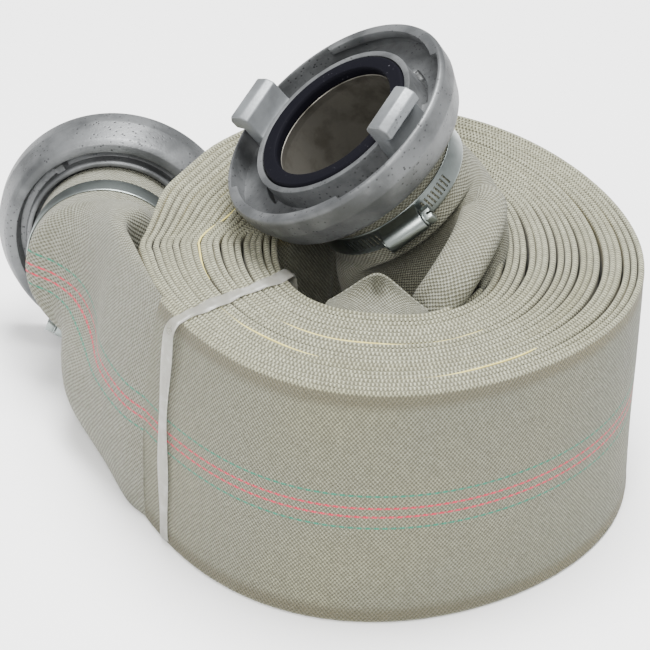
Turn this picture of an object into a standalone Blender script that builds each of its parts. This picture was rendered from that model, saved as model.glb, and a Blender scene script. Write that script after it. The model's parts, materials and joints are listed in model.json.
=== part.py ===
"""Rolled lay-flat fire hose with a lug-and-hook coupling on each end.

The hose stands on edge as a flat spiral. Its inner end turns up out of the hollow
into one coupling, and its outer end opens beside the roll into the other.
Each coupling is a turned tail clamped in the hose, a swivelling cast lug ring,
a snap ring that keeps the lug ring on, and a lip seal.
Units are metres, +Z is up, and the roll stands on the plane z = 0.
"""
import math

import bmesh
import bpy
from mathutils import Matrix, Vector

# ---------------------------------------------------------------- whole object
ROLL_AXIS = Vector((0.0377, 0.0015, 0.0))   # where the roll's axis meets the ground
GAP = 0.0003                                 # clearance between touching pieces
ROOT = 0.0006                                # how far a united shape runs into its neighbour

# ------------------------------------------------------------------- hose roll
LAY_FLAT = 0.126            # width of the flattened hose
STRIP = 0.0027              # thickness of the flattened hose, two walls
STRIP_POWER = 6.0           # squareness of the flattened section's edges
TURN_STEPS = 24             # chords in one turn
WHOLE_TURNS = 20
LAST_STEPS = 7              # chords past the last whole turn
START_ANGLE = math.radians(-40.0)
OUTER_RADIUS = 0.1266       # mean radius of the outermost turn
OUTER_WAVES = (             # (count round the roll, cosine part, sine part) of its outline
    (2, -0.050, -0.025),
    (3, 0.013, 0.009),
    (4, 0.006, -0.013),
)
SLACK_ANGLE = math.radians(-158.0)   # the outer turns are slack round this side
SLACK_HALF = math.radians(26.0)
SLACK_DEPTH = 0.0085
HOLLOW_HALF = (0.0520, 0.0665)   # half sizes of the hollow in the middle, x and y
HOLLOW_CENTRE_X = 0.0030
HOLLOW_POWER = 2.6               # 2 is an ellipse, larger is squarer
FLAT_SIDE_ANGLE = math.radians(154.4)   # side pressed flat by the outer coupling
FLAT_SIDE_OUTER = 0.1025
FLAT_SIDE_INNER = 0.0442

# ------------------------------------------------------------------- tie strap
STRAP_ANGLE = math.radians(-137.5)
STRAP_WIDTH = 0.0070
STRAP_THICKNESS = 0.0006
STRAP_BED = 0.0012          # how far the strap presses the hose edges in
STRAP_BED_HALF = 1.1 * math.pi / TURN_STEPS   # half the angle that it presses on

# -------------------------------------------------------------------- coupling
# Along a coupling's own axis z = 0 is the mating face, and the hose is at -z.
RIM_RADIUS = 0.0620
RIM_CHAMFER = 0.0012
RIM_CHAMFER_DEPTH = 0.0020
RIM_DRAFT = 0.0008          # taper of the rim's cylindrical band, and of its back edge
RIM_BAND_DEPTH = 0.0110     # where the rim begins to slope in
RIM_BACK_RADIUS = 0.0555
RIM_SLOPE_DEPTH = 0.0225    # where the slope meets the back edge
RING_DEPTH = 0.0250
RIM_WALL_INNER = 0.0592
RIM_LIP_INNER = 0.0562      # overhang that the other half's hooks slide under
RIM_LIP_DEPTH = 0.0040
CHANNEL_FLOOR = 0.0115
COLLAR_OUTER = 0.0438
COLLAR_INNER = 0.0406
BARREL_OUTER = 0.0375
BARREL_BORE = 0.0345
BARREL_START = 0.0190
BARREL_END = 0.0580
BARREL_CHAMFER = (0.0010, 0.0020)    # radial, along the axis
GROOVE_DEPTH = 0.0010       # groove that holds the snap ring
GROOVE_WIDTH = 0.0021
SEAL_BORE = 0.0325
SEAL_SET_BACK = 0.0008
SEAL_CROWN = 0.0006         # how far the seal's face stands out of the mating face
SEAL_SHOULDER = 0.0020
HEAD_BORE_CHAMFER = 0.0005
HEAD_TOP = 0.0052
HEAD_BOTTOM = 0.0100
SHOULDER_BOTTOM = 0.0160
HUB_BORE = 0.0422
HUB_OUTER = 0.0452
RECESS_OUTER = 0.0500
RECESS_FLOOR = 0.0185
RECESS_TAPER = 0.0010
RING_STEPS = 36
ENTRY_HALF = math.radians(48.0)      # half the arc in the lip that lets a hook in
ENTRY_INNER = COLLAR_OUTER + 0.0040
ENTRY_STEPS = 14
ENTRY_OVERCUT = 0.0001
LUG_HALF = math.radians(12.5)
LUG_STEM_OUTER = 0.0525
LUG_HEAD_OUTER = 0.0580
LUG_HEAD_BASE = 0.0045
LUG_HEAD_SLOPE = 0.0010     # rise of the head's underside towards its tip
LUG_TOP = 0.0135
LUG_EDGE = 0.0013
LUG_SET_BACK = 0.0002       # the lug's front stands this far outside the collar
LUG_ROOT_DEPTH = 0.0042     # where the lug's front has run into the collar
RIB_HALF = math.radians(3.5)
RIB_SET_BACK = 0.0020

# ------------------------------------------------- what is fastened to the tail
SNAP_WIRE = 0.0009          # radius of the snap ring's wire
SNAP_OPENING = math.radians(14.0)
SNAP_STEPS = 24
HOSE_END = 0.0208           # where the hose's cut end lies behind the mating face
LINING_INNER = BARREL_OUTER + GAP
LINING_OUTER = LINING_INNER + 0.0007
LINING_SHORT = 0.0010       # the lining stops this far before the barrel's end
NECK_SIDES = 24             # sides of the round hose; its flats clear the lining
JACKET_INNER = (LINING_OUTER + GAP) / math.cos(math.pi / NECK_SIDES)
JACKET_WALL = 0.0011
JACKET_OUTER = JACKET_INNER + JACKET_WALL

# ------------------------------------------------------------ worm-drive clamp
BAND_INNER = JACKET_OUTER + GAP
BAND_THICKNESS = 0.0007
BAND_WIDTH = 0.0120
BAND_CENTRE = 0.0440        # distance behind the mating face
SLOT_COUNT = 6
SLOT_SPACING = math.radians(4.0)
SLOT_SIZE = (0.0040, 0.0011, 0.0066)     # radial, tangential, along the axis
SLOT_START = math.radians(22.0)
HOUSING_LENGTH = 0.0210
HOUSING_RADIUS = 0.0052
HOUSING_BORE = 0.0037
HOUSING_SIDES = 20
BORE_SIDES = 16
FOOT_SINK = 0.0016          # the foot reaches this far below the band's surface
FOOT_SHARE = 0.96           # the foot's length as a share of the housing's
FOOT_MARGIN = 0.0012        # the foot is this much wider than the band
WORM_RADIUS = HOUSING_BORE - GAP
WORM_SIDES = 14
WORM_OVERHANG = 0.0020      # the worm is this much longer than its housing
WORM_CENTRE = BAND_INNER + BAND_THICKNESS + GAP + HOUSING_RADIUS
HEAD_RADIUS = 0.0048
HEAD_LENGTH = 0.0050
HEAD_SLOT = (0.0012, 0.0110, 0.0024)     # width, length, depth

# ---------------------------------------------------- where each coupling sits
# face: centre of the mating face from the roll's axis; axis: the way it faces;
# spin: turn of the lugs about the axis; clamp: where the worm housing sits.
COUPLINGS = {
    "inner": {
        "face": Vector((-0.0261, 0.0115, 0.1812)),
        "axis": Vector((-0.596, -0.147, 0.789)),
        "spin": math.radians(37.0),
        "clamp": 0.0,
    },
    "outer": {
        "face": Vector((-0.1358, 0.1015, 0.0622)),
        "axis": Vector((0.021, 0.994, -0.109)),
        "spin": math.radians(8.0),
        "clamp": math.radians(-70.0),
    },
}

# Stations of the hose between roll and clamp, from the roll outwards:
# centre from the roll's axis, half height, half thickness, squareness,
# and how far the section has turned from upright to square with the coupling.
INNER_NECK = (
    ((0.0480, -0.0185, 0.0650), 0.0630, 0.0030, 5.0, 0.04),
    ((0.0400, -0.0020, 0.0780), 0.0600, 0.0075, 4.0, 0.22),
    ((0.0275, 0.0090, 0.0985), 0.0540, 0.0140, 2.8, 0.50),
    ((0.0140, 0.0175, 0.1235), 0.0455, 0.0290, 2.2, 0.86),
)
OUTER_NECK = (
    ((-0.1150, -0.0555, 0.0633), 0.0628, 0.0018, 6.0, 0.20),
    ((-0.1265, -0.0300, 0.0637), 0.0624, 0.0035, 5.0, 0.42),
    ((-0.1308, -0.0050, 0.0640), 0.0618, 0.0080, 4.0, 0.62),
    ((-0.1300, 0.0120, 0.0655), 0.0580, 0.0165, 3.2, 0.78),
    ((-0.1290, 0.0255, 0.0670), 0.0515, 0.0235, 2.6, 0.90),
    ((-0.1320, 0.0355, 0.0678), 0.0455, 0.0320, 2.2, 0.97),
)
NECK_SUBSTEPS = 2           # sections laid between two stations

MATERIALS = {
    # name: (colour, roughness, metallic)
    "woven_jacket": ((0.78, 0.76, 0.66), 0.85, 0.0),
    "rubber_lining": ((0.30, 0.20, 0.10), 0.70, 0.0),
    "cast_aluminium": ((0.42, 0.43, 0.45), 0.42, 1.0),
    "turned_aluminium": ((0.50, 0.49, 0.46), 0.35, 1.0),
    "black_rubber": ((0.02, 0.02, 0.025), 0.55, 0.0),
    "spring_steel": ((0.30, 0.30, 0.32), 0.35, 1.0),
    "zinc_plated_steel": ((0.55, 0.58, 0.60), 0.28, 1.0),
    "clear_plastic": ((0.80, 0.80, 0.76), 0.30, 0.0),
}


# ------------------------------------------------------------------- utilities
def clear_scene():
    for old in list(bpy.data.objects):
        bpy.data.objects.remove(old, do_unlink=True)


def new_collection(name):
    collection = bpy.data.collections.new(name)
    bpy.context.scene.collection.children.link(collection)
    return collection


def new_material(name):
    colour, roughness, metallic = MATERIALS[name]
    material = bpy.data.materials.new(name)
    material.use_nodes = True
    shader = material.node_tree.nodes["Principled BSDF"]
    shader.inputs["Base Color"].default_value = (*colour, 1.0)
    shader.inputs["Roughness"].default_value = roughness
    shader.inputs["Metallic"].default_value = metallic
    return material


def new_empty(name, matrix, parent=None):
    empty = bpy.data.objects.new(name, None)
    empty.empty_display_size = 0.02
    hose.objects.link(empty)
    empty.parent = parent
    empty.matrix_local = matrix
    return empty


def place(name, mesh, material, parent):
    """Link one sub-part with its own material under its parent empty."""
    part = bpy.data.objects.new(name, mesh)
    mesh.materials.append(materials[material].copy())
    hose.objects.link(part)
    part.parent = parent
    mesh.shade_smooth()
    mesh.set_sharp_from_angle(angle=math.radians(35.0))
    return part


def as_cutter(mesh, name, parent):
    """A guide for a Boolean: drawn as wire and never rendered."""
    tool = bpy.data.objects.new(name, mesh)
    cutters.objects.link(tool)
    tool.parent = parent
    tool.hide_render = True
    tool.display_type = "WIRE"
    return tool


def boolean(part, tool, operation):
    modifier = part.modifiers.new(tool.name, "BOOLEAN")
    modifier.operation = operation
    modifier.solver = "EXACT"
    modifier.object = tool


def turned_mesh(name, profile, steps):
    """Sweep a closed profile of (radius, z) points round Z with a Screw modifier."""
    mesh = bpy.data.meshes.new(name)
    count = len(profile)
    points = [(radius, 0.0, z) for radius, z in profile]
    edges = [(index, (index + 1) % count) for index in range(count)]
    mesh.from_pydata(points, edges, [])
    holder = bpy.data.objects.new(name, mesh)
    cutters.objects.link(holder)
    screw = holder.modifiers.new("turn", "SCREW")
    screw.angle = math.tau
    screw.steps = steps
    screw.render_steps = steps
    screw.use_merge_vertices = True
    screw.merge_threshold = 0.00001
    return baked(holder, name)


def baked(holder, name):
    """The mesh of an evaluated helper object, with its loose caps welded."""
    bpy.context.view_layer.update()
    graph = bpy.context.evaluated_depsgraph_get()
    mesh = bpy.data.meshes.new_from_object(holder.evaluated_get(graph))
    mesh.name = name
    source = holder.data
    bpy.data.objects.remove(holder, do_unlink=True)
    if isinstance(source, bpy.types.Curve):
        bpy.data.curves.remove(source)
    shape = bmesh.new()
    shape.from_mesh(mesh)
    bmesh.ops.remove_doubles(shape, verts=shape.verts, dist=0.00001)
    bmesh.ops.recalc_face_normals(shape, faces=shape.faces)
    shape.to_mesh(mesh)
    shape.free()
    return mesh


def outline_mesh(name, loops, low, high):
    """A flat outline with optional holes, extruded along Z from low to high."""
    curve = bpy.data.curves.new(name, "CURVE")
    curve.dimensions = "2D"
    curve.fill_mode = "BOTH"
    curve.extrude = (high - low) / 2
    for loop in loops:
        spline = curve.splines.new("POLY")
        spline.points.add(len(loop) - 1)
        spline.use_cyclic_u = True
        for point, (x, y) in zip(spline.points, loop):
            point.co = (x, y, 0.0, 1.0)
    holder = bpy.data.objects.new(name, curve)
    cutters.objects.link(holder)
    mesh = baked(holder, name)
    mesh.transform(Matrix.Translation((0.0, 0.0, (low + high) / 2)))
    return mesh


def sector(inner, outer, centre, half, steps):
    """Outline of a block bounded by two arcs about the origin."""
    angles = [centre - half + 2 * half * index / steps for index in range(steps + 1)]
    far = [(outer * math.cos(angle), outer * math.sin(angle)) for angle in angles]
    near = [(inner * math.cos(angle), inner * math.sin(angle)) for angle in reversed(angles)]
    return far + near


def joined(name, meshes):
    """Several meshes as one, each still a separate body."""
    shape = bmesh.new()
    for mesh in meshes:
        shape.from_mesh(mesh)
    whole = bpy.data.meshes.new(name)
    shape.to_mesh(whole)
    shape.free()
    return whole


def cylinder_mesh(name, radius, depth, sides, centre=(0.0, 0.0, 0.0)):
    shape = bmesh.new()
    bmesh.ops.create_cone(shape, cap_ends=True, segments=sides, radius1=radius,
                          radius2=radius, depth=depth,
                          matrix=Matrix.Translation(centre))
    mesh = bpy.data.meshes.new(name)
    shape.to_mesh(mesh)
    shape.free()
    return mesh


def box_mesh(name, size, matrix):
    shape = bmesh.new()
    bmesh.ops.create_cube(shape, size=1.0, matrix=matrix @ Matrix.Diagonal((*size, 1.0)))
    mesh = bpy.data.meshes.new(name)
    shape.to_mesh(mesh)
    shape.free()
    return mesh


# ------------------------------------------------------------------- hose roll
def outer_outline(angle):
    """Radius of the outermost turn's middle line at an angle about the roll's axis."""
    radius = OUTER_RADIUS
    for count, cosine, sine in OUTER_WAVES:
        wave = cosine * math.cos(count * angle) + sine * math.sin(count * angle)
        radius += OUTER_RADIUS * wave
    off = math.remainder(angle - SLACK_ANGLE, math.tau)
    radius += SLACK_DEPTH * math.exp(-(off / SLACK_HALF) ** 2)
    return pressed_flat(radius, angle, FLAT_SIDE_OUTER)


def inner_outline(angle):
    """Radius of the innermost turn's middle line: a squared ellipse round the hollow."""
    across, along = HOLLOW_HALF
    reach = (abs(math.cos(angle)) / across) ** HOLLOW_POWER
    reach += (abs(math.sin(angle)) / along) ** HOLLOW_POWER
    radius = reach ** (-1 / HOLLOW_POWER) + HOLLOW_CENTRE_X * math.cos(angle)
    return pressed_flat(radius, angle, FLAT_SIDE_INNER)


def pressed_flat(radius, angle, distance):
    facing = math.cos(angle - FLAT_SIDE_ANGLE)
    if radius * facing <= distance:
        return radius
    return distance / facing


def spiral_point(step):
    """Middle line of the flattened hose after a number of chords, inside to outside."""
    total = WHOLE_TURNS * TURN_STEPS + LAST_STEPS
    angle = START_ANGLE - math.tau * step / TURN_STEPS
    share = step / total
    radius = inner_outline(angle) * (1 - share) + outer_outline(angle) * share
    return Vector((radius * math.cos(angle), radius * math.sin(angle), 0.0))


def make_roll():
    """The flattened hose on edge, wound clockwise from the hollow outwards."""
    total = WHOLE_TURNS * TURN_STEPS + LAST_STEPS
    points = []
    for step in range(total + 1):
        spot = spiral_point(step)
        angle = START_ANGLE - math.tau * step / TURN_STEPS
        off_strap = abs(math.remainder(angle - STRAP_ANGLE, math.tau))
        bed = STRAP_BED if off_strap < STRAP_BED_HALF else 0.0
        points.append((spot.x, spot.y, bed))
        points.append((spot.x, spot.y, LAY_FLAT - bed))
    faces = []
    for step in range(total):
        low = 2 * step
        faces.append((low, low + 1, low + 3, low + 2))
    mesh = bpy.data.meshes.new("hose_roll")
    mesh.from_pydata(points, [], faces)
    roll = place("hose_roll", mesh, "woven_jacket", frame)
    solid = roll.modifiers.new("two walls", "SOLIDIFY")
    solid.thickness = STRIP
    solid.offset = 0.0
    solid.use_even_offset = True


# ------------------------------------------------------------------- hose ends
def neck_stations(side, coupling):
    """Stations of one hose end: (centre, half height, half thickness, power, turn share)."""
    last_step = WHOLE_TURNS * TURN_STEPS + LAST_STEPS
    if side == "inner":
        end, inward = spiral_point(0), spiral_point(1)
        listed = INNER_NECK
    else:
        end, inward = spiral_point(last_step), spiral_point(last_step - 1)
        listed = OUTER_NECK
    forward = (end - inward).normalized()
    start = end + forward * GAP
    start.z = LAY_FLAT / 2
    stations = [(start, LAY_FLAT / 2, STRIP / 2, STRIP_POWER, 0.0)]
    stations += [(Vector(centre), *rest) for centre, *rest in listed]
    axis = coupling["axis"].normalized()
    for depth in (BARREL_END, (BARREL_END + HOSE_END) / 2, HOSE_END):
        centre = coupling["face"] - axis * depth
        stations.append((centre, JACKET_OUTER, JACKET_OUTER, 2.0, 1.0))
    return stations, forward


def blend(first, second, third, fourth, share):
    """Catmull-Rom value between the second and third of four."""
    square = share * share
    cube = square * share
    return 0.5 * (2 * second + (third - first) * share
                  + (2 * first - 5 * second + 4 * third - fourth) * square
                  + (3 * second - first - 3 * third + fourth) * cube)


def refined(stations):
    """Lay extra stations between the listed ones, on a smooth curve."""
    fine = []
    last = len(stations) - 1
    for index in range(last):
        around = [stations[max(0, min(last, index + offset))] for offset in (-1, 0, 1, 2)]
        straight = index >= last - 2
        for sub in range(NECK_SUBSTEPS):
            share = sub / NECK_SUBSTEPS
            if straight:
                mixed = tuple(around[1][item] * (1 - share) + around[2][item] * share
                              for item in range(5))
            else:
                mixed = tuple(blend(*(station[item] for station in around), share)
                              for item in range(5))
            fine.append(mixed)
    fine.append(stations[-1])
    return fine


def section_turn(forward):
    """Frame of an upright section: X across the hose, Y up, Z along it."""
    vertical = Vector((0.0, 0.0, 1.0))
    return Matrix((vertical.cross(forward), vertical, forward)).transposed().to_quaternion()


def section_loop(station, turn, shrink):
    """Points round one cross-section, shrunk by the wall for the inside."""
    centre, high, thick, power = station[:4]
    high = high - shrink
    thick = max(thick - shrink, GAP / 2)
    loop = []
    for index in range(NECK_SIDES):
        angle = math.tau * index / NECK_SIDES
        rise = math.copysign(abs(math.cos(angle)) ** (2 / power), math.cos(angle))
        reach = math.copysign(abs(math.sin(angle)) ** (2 / power), math.sin(angle))
        loop.append(centre + turn @ Vector((reach * thick, rise * high, 0.0)))
    return loop


def make_neck(side, coupling):
    """The hose opening from flat to round, hollow right through."""
    listed, forward = neck_stations(side, coupling)
    upright = section_turn(forward)
    square_on = coupling_matrix(coupling).to_quaternion()
    shape = bmesh.new()
    skins = {"outside": [], "inside": []}
    for station in refined(listed):
        turn = upright.slerp(square_on, station[4])
        for skin, shrink in (("outside", 0.0), ("inside", JACKET_WALL)):
            loop = section_loop(station, turn, shrink)
            skins[skin].append([shape.verts.new(point) for point in loop])
    for loops in skins.values():
        for first, second in zip(loops, loops[1:]):
            bridge(shape, first, second)
    for end in (0, -1):
        bridge(shape, skins["outside"][end], skins["inside"][end])
    bmesh.ops.recalc_face_normals(shape, faces=shape.faces)
    mesh = bpy.data.meshes.new("hose_neck_" + side)
    shape.to_mesh(mesh)
    shape.free()
    place("hose_neck_" + side, mesh, "woven_jacket", frame)


def bridge(shape, first, second):
    count = len(first)
    for index in range(count):
        following = (index + 1) % count
        shape.faces.new((first[index], first[following], second[following], second[index]))


# ------------------------------------------------------------------- tie strap
def make_strap():
    """A flat band round the section of the ring of turns, on the roll's own edges."""
    toward = Vector((math.cos(STRAP_ANGLE), math.sin(STRAP_ANGLE), 0.0))
    before = LAST_STEPS - 1
    last = WHOLE_TURNS * TURN_STEPS
    near = min(spiral_point(step).dot(toward) for step in (before, before + 1))
    far = max(spiral_point(last + step).dot(toward) for step in (before, before + 1))
    near -= STRIP / 2 + 2 * GAP
    far += STRIP / 2 + 2 * GAP
    low = STRAP_BED - GAP
    high = LAY_FLAT - STRAP_BED + GAP

    def rectangle(grow):
        return [(near - grow, low - grow), (far + grow, low - grow),
                (far + grow, high + grow), (near - grow, high + grow)]

    half = STRAP_WIDTH / 2
    mesh = outline_mesh("tie_strap", [rectangle(STRAP_THICKNESS), rectangle(0.0)], -half, half)
    stand = Matrix.Rotation(STRAP_ANGLE, 4, "Z") @ Matrix.Rotation(math.pi / 2, 4, "X")
    mesh.transform(stand)
    place("tie_strap", mesh, "clear_plastic", frame)


# -------------------------------------------------------------------- coupling
def coupling_matrix(coupling):
    """Local Z along the way the coupling faces, local X level."""
    facing = coupling["axis"].normalized()
    level = Vector((0.0, 0.0, 1.0)).cross(facing).normalized()
    third = facing.cross(level)
    turn = Matrix((level, third, facing)).transposed().to_4x4()
    return Matrix.Translation(coupling["face"]) @ turn


def make_lug_ring(side, seat, spin):
    """Cast ring: sloping rim, annular channel, thin collar, and a hub behind."""
    profile = [
        (RIM_RADIUS - RIM_CHAMFER, 0.0), (RIM_RADIUS, -RIM_CHAMFER_DEPTH),
        (RIM_RADIUS - RIM_DRAFT, -RIM_BAND_DEPTH),
        (RIM_BACK_RADIUS + RIM_CHAMFER, -RIM_SLOPE_DEPTH),
        (RIM_BACK_RADIUS - RIM_DRAFT, -RING_DEPTH),
        (RECESS_OUTER, -RING_DEPTH), (RECESS_OUTER - RECESS_TAPER, -RECESS_FLOOR),
        (HUB_OUTER, -RECESS_FLOOR), (HUB_OUTER, -RING_DEPTH), (HUB_BORE, -RING_DEPTH),
        (HUB_BORE, -SHOULDER_BOTTOM), (BARREL_OUTER + GAP, -SHOULDER_BOTTOM),
        (BARREL_OUTER + GAP, -HEAD_BOTTOM - GAP), (COLLAR_INNER, -HEAD_BOTTOM - GAP),
        (COLLAR_INNER, 0.0), (COLLAR_OUTER, 0.0), (COLLAR_OUTER, -CHANNEL_FLOOR),
        (RIM_WALL_INNER, -CHANNEL_FLOOR), (RIM_WALL_INNER, -RIM_LIP_DEPTH),
        (RIM_LIP_INNER, -RIM_LIP_DEPTH), (RIM_LIP_INNER, 0.0),
    ]
    name = "lug_ring_" + side
    spun = new_empty("swivel_" + side, Matrix.Rotation(spin, 4, "Z"), seat)
    ring = place(name, turned_mesh(name, profile, RING_STEPS), "cast_aluminium", spun)
    entries = []
    lugs = []
    ribs = []
    for half_turn in (0.0, math.pi):
        arc = sector(ENTRY_INNER, RIM_WALL_INNER, half_turn, ENTRY_HALF, ENTRY_STEPS)
        entries.append(outline_mesh("entry", [arc], -RIM_LIP_DEPTH - ENTRY_OVERCUT, ROOT))
        lugs.append(lug_mesh(half_turn))
    for quarter in range(4):
        centre = math.pi / 4 + quarter * math.pi / 2
        bar = sector(HUB_OUTER - ROOT, RECESS_OUTER + ROOT, centre, RIB_HALF, 2)
        ribs.append(outline_mesh("rib", [bar], RIB_SET_BACK - RING_DEPTH, ROOT - RECESS_FLOOR))
    boolean(ring, as_cutter(joined("entries", entries), "entries_" + side, spun), "DIFFERENCE")
    boolean(ring, as_cutter(joined("lugs", lugs), "lugs_" + side, spun), "UNION")
    boolean(ring, as_cutter(joined("ribs", ribs), "ribs_" + side, spun), "UNION")


def lug_mesh(centre):
    """One hooked lug: a stem on the collar and a head that reaches outwards."""
    side_view = [
        (COLLAR_OUTER - ROOT, -CHANNEL_FLOOR - ROOT),
        (LUG_STEM_OUTER, -CHANNEL_FLOOR - ROOT),
        (LUG_STEM_OUTER, LUG_HEAD_BASE),
        (LUG_HEAD_OUTER, LUG_HEAD_BASE + LUG_HEAD_SLOPE),
        (LUG_HEAD_OUTER, LUG_TOP - 2 * LUG_EDGE),
        (LUG_HEAD_OUTER - 2 * LUG_EDGE, LUG_TOP),
        (COLLAR_OUTER + 2 * LUG_EDGE, LUG_TOP),
        (COLLAR_OUTER + LUG_SET_BACK, LUG_TOP - 2 * LUG_EDGE),
        (COLLAR_OUTER + LUG_SET_BACK, 0.0),
        (COLLAR_OUTER - ROOT, -LUG_ROOT_DEPTH),
    ]
    width = LUG_HEAD_OUTER * math.sin(LUG_HALF)
    mesh = outline_mesh("lug", [side_view], -width, width)
    stand = Matrix.Rotation(centre, 4, "Z") @ Matrix.Rotation(math.pi / 2, 4, "X")
    mesh.transform(stand)
    shape = bmesh.new()
    shape.from_mesh(mesh)
    high = [edge for edge in shape.edges
            if min(vert.co.z for vert in edge.verts) > LUG_HEAD_BASE
            and edge.is_manifold and edge.calc_face_angle() > math.radians(60.0)]
    bmesh.ops.bevel(shape, geom=high, offset=LUG_EDGE, segments=1, affect="EDGES",
                    clamp_overlap=True)
    shape.to_mesh(mesh)
    shape.free()
    return mesh


def make_tail(side, seat):
    """Turned tail: a head under the seal and a barrel that the hose is clamped on."""
    groove_top = -SHOULDER_BOTTOM - GAP
    groove_floor = BARREL_OUTER - GROOVE_DEPTH
    chamfer, chamfer_length = BARREL_CHAMFER
    profile = [
        (COLLAR_INNER - GAP, -HEAD_TOP), (COLLAR_INNER - GAP, -HEAD_BOTTOM),
        (BARREL_OUTER, -HEAD_BOTTOM), (BARREL_OUTER, groove_top), (groove_floor, groove_top),
        (groove_floor, groove_top - GROOVE_WIDTH), (BARREL_OUTER, -BARREL_START),
        (BARREL_OUTER, chamfer_length - BARREL_END), (BARREL_OUTER - chamfer, -BARREL_END),
        (BARREL_BORE, -BARREL_END), (BARREL_BORE, -HEAD_BOTTOM),
        (SEAL_BORE + HEAD_BORE_CHAMFER, -HEAD_TOP),
    ]
    name = "hose_tail_" + side
    place(name, turned_mesh(name, profile, RING_STEPS), "turned_aluminium", seat)


def make_seal(side, seat):
    """Lip seal that fills the collar in front of the tail's head."""
    profile = [
        (COLLAR_INNER - GAP, -SEAL_SET_BACK), (COLLAR_INNER - GAP, GAP - HEAD_TOP),
        (SEAL_BORE + HEAD_BORE_CHAMFER, GAP - HEAD_TOP), (SEAL_BORE, -SEAL_SET_BACK),
        (SEAL_BORE + SEAL_SHOULDER, SEAL_CROWN), (COLLAR_INNER - SEAL_SHOULDER, SEAL_CROWN),
    ]
    name = "seal_" + side
    place(name, turned_mesh(name, profile, RING_STEPS), "black_rubber", seat)


def make_snap_ring(side, seat):
    """Round spring wire in the barrel's groove, behind the lug ring's shoulder."""
    curve = bpy.data.curves.new("snap_ring_" + side, "CURVE")
    curve.dimensions = "3D"
    curve.bevel_depth = SNAP_WIRE
    curve.bevel_resolution = 2
    curve.use_fill_caps = True
    spline = curve.splines.new("POLY")
    spline.points.add(SNAP_STEPS - 1)
    radius = BARREL_OUTER - GROOVE_DEPTH + GAP + SNAP_WIRE
    depth = -SHOULDER_BOTTOM - GAP - SNAP_WIRE
    for index, point in enumerate(spline.points):
        angle = SNAP_OPENING + (math.tau - 2 * SNAP_OPENING) * index / (SNAP_STEPS - 1)
        point.co = (radius * math.cos(angle), radius * math.sin(angle), depth, 1.0)
    holder = bpy.data.objects.new("snap_ring_" + side, curve)
    cutters.objects.link(holder)
    place("snap_ring_" + side, baked(holder, "snap_ring_" + side), "spring_steel", seat)


def make_lining(side, seat):
    """Rubber lining where the hose is pushed over the barrel."""
    high = -HOSE_END
    low = LINING_SHORT - BARREL_END
    profile = [(LINING_OUTER, high), (LINING_OUTER, low), (LINING_INNER, low),
               (LINING_INNER, high)]
    name = "hose_lining_" + side
    place(name, turned_mesh(name, profile, RING_STEPS), "rubber_lining", seat)


# ------------------------------------------------------------ worm-drive clamp
def make_clamp(side, seat, clamp_angle):
    """Slotted band, worm housing and worm screw, in the clamp's own frame."""
    turn = Matrix.Rotation(clamp_angle, 4, "Z")
    clamp = new_empty("clamp_" + side, Matrix.Translation((0, 0, -BAND_CENTRE)) @ turn, seat)
    half = BAND_WIDTH / 2
    outer = BAND_INNER + BAND_THICKNESS
    profile = [(outer, half), (outer, -half), (BAND_INNER, -half), (BAND_INNER, half)]
    name = "clamp_band_" + side
    band = place(name, turned_mesh(name, profile, RING_STEPS), "zinc_plated_steel", clamp)
    slots = []
    for direction in (-1, 1):
        for index in range(SLOT_COUNT):
            angle = direction * (SLOT_START + index * SLOT_SPACING)
            spot = Matrix.Rotation(angle, 4, "Z") @ Matrix.Translation((outer, 0.0, 0.0))
            slots.append(box_mesh("slot", SLOT_SIZE, spot))
    boolean(band, as_cutter(joined("slots", slots), "slots_" + side, clamp), "DIFFERENCE")
    make_housing(side, clamp, outer)
    make_screw(side, clamp)


def make_housing(side, clamp, outer):
    """Barrel-shaped shell over the band, with a foot on it and a bore for the worm."""
    lay_down = Matrix.Translation((WORM_CENTRE, 0, 0)) @ Matrix.Rotation(math.pi / 2, 4, "X")
    shell = cylinder_mesh("clamp_housing_" + side, HOUSING_RADIUS, HOUSING_LENGTH,
                          HOUSING_SIDES)
    shell.transform(lay_down)
    housing = place("clamp_housing_" + side, shell, "zinc_plated_steel", clamp)
    foot_size = (HOUSING_RADIUS + FOOT_SINK, HOUSING_LENGTH * FOOT_SHARE, BAND_WIDTH + FOOT_MARGIN)
    foot_spot = Matrix.Translation((outer + GAP - FOOT_SINK + foot_size[0] / 2, 0.0, 0.0))
    foot = box_mesh("foot", foot_size, foot_spot)
    tunnel = cylinder_mesh("tunnel", outer + GAP, BAND_WIDTH * 2, RING_STEPS * 2)
    bore = cylinder_mesh("bore", HOUSING_BORE, HOUSING_LENGTH * 2, BORE_SIDES)
    bore.transform(lay_down)
    boolean(housing, as_cutter(foot, "foot_" + side, clamp), "UNION")
    boolean(housing, as_cutter(tunnel, "tunnel_" + side, clamp), "DIFFERENCE")
    boolean(housing, as_cutter(bore, "bore_" + side, clamp), "DIFFERENCE")


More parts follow.
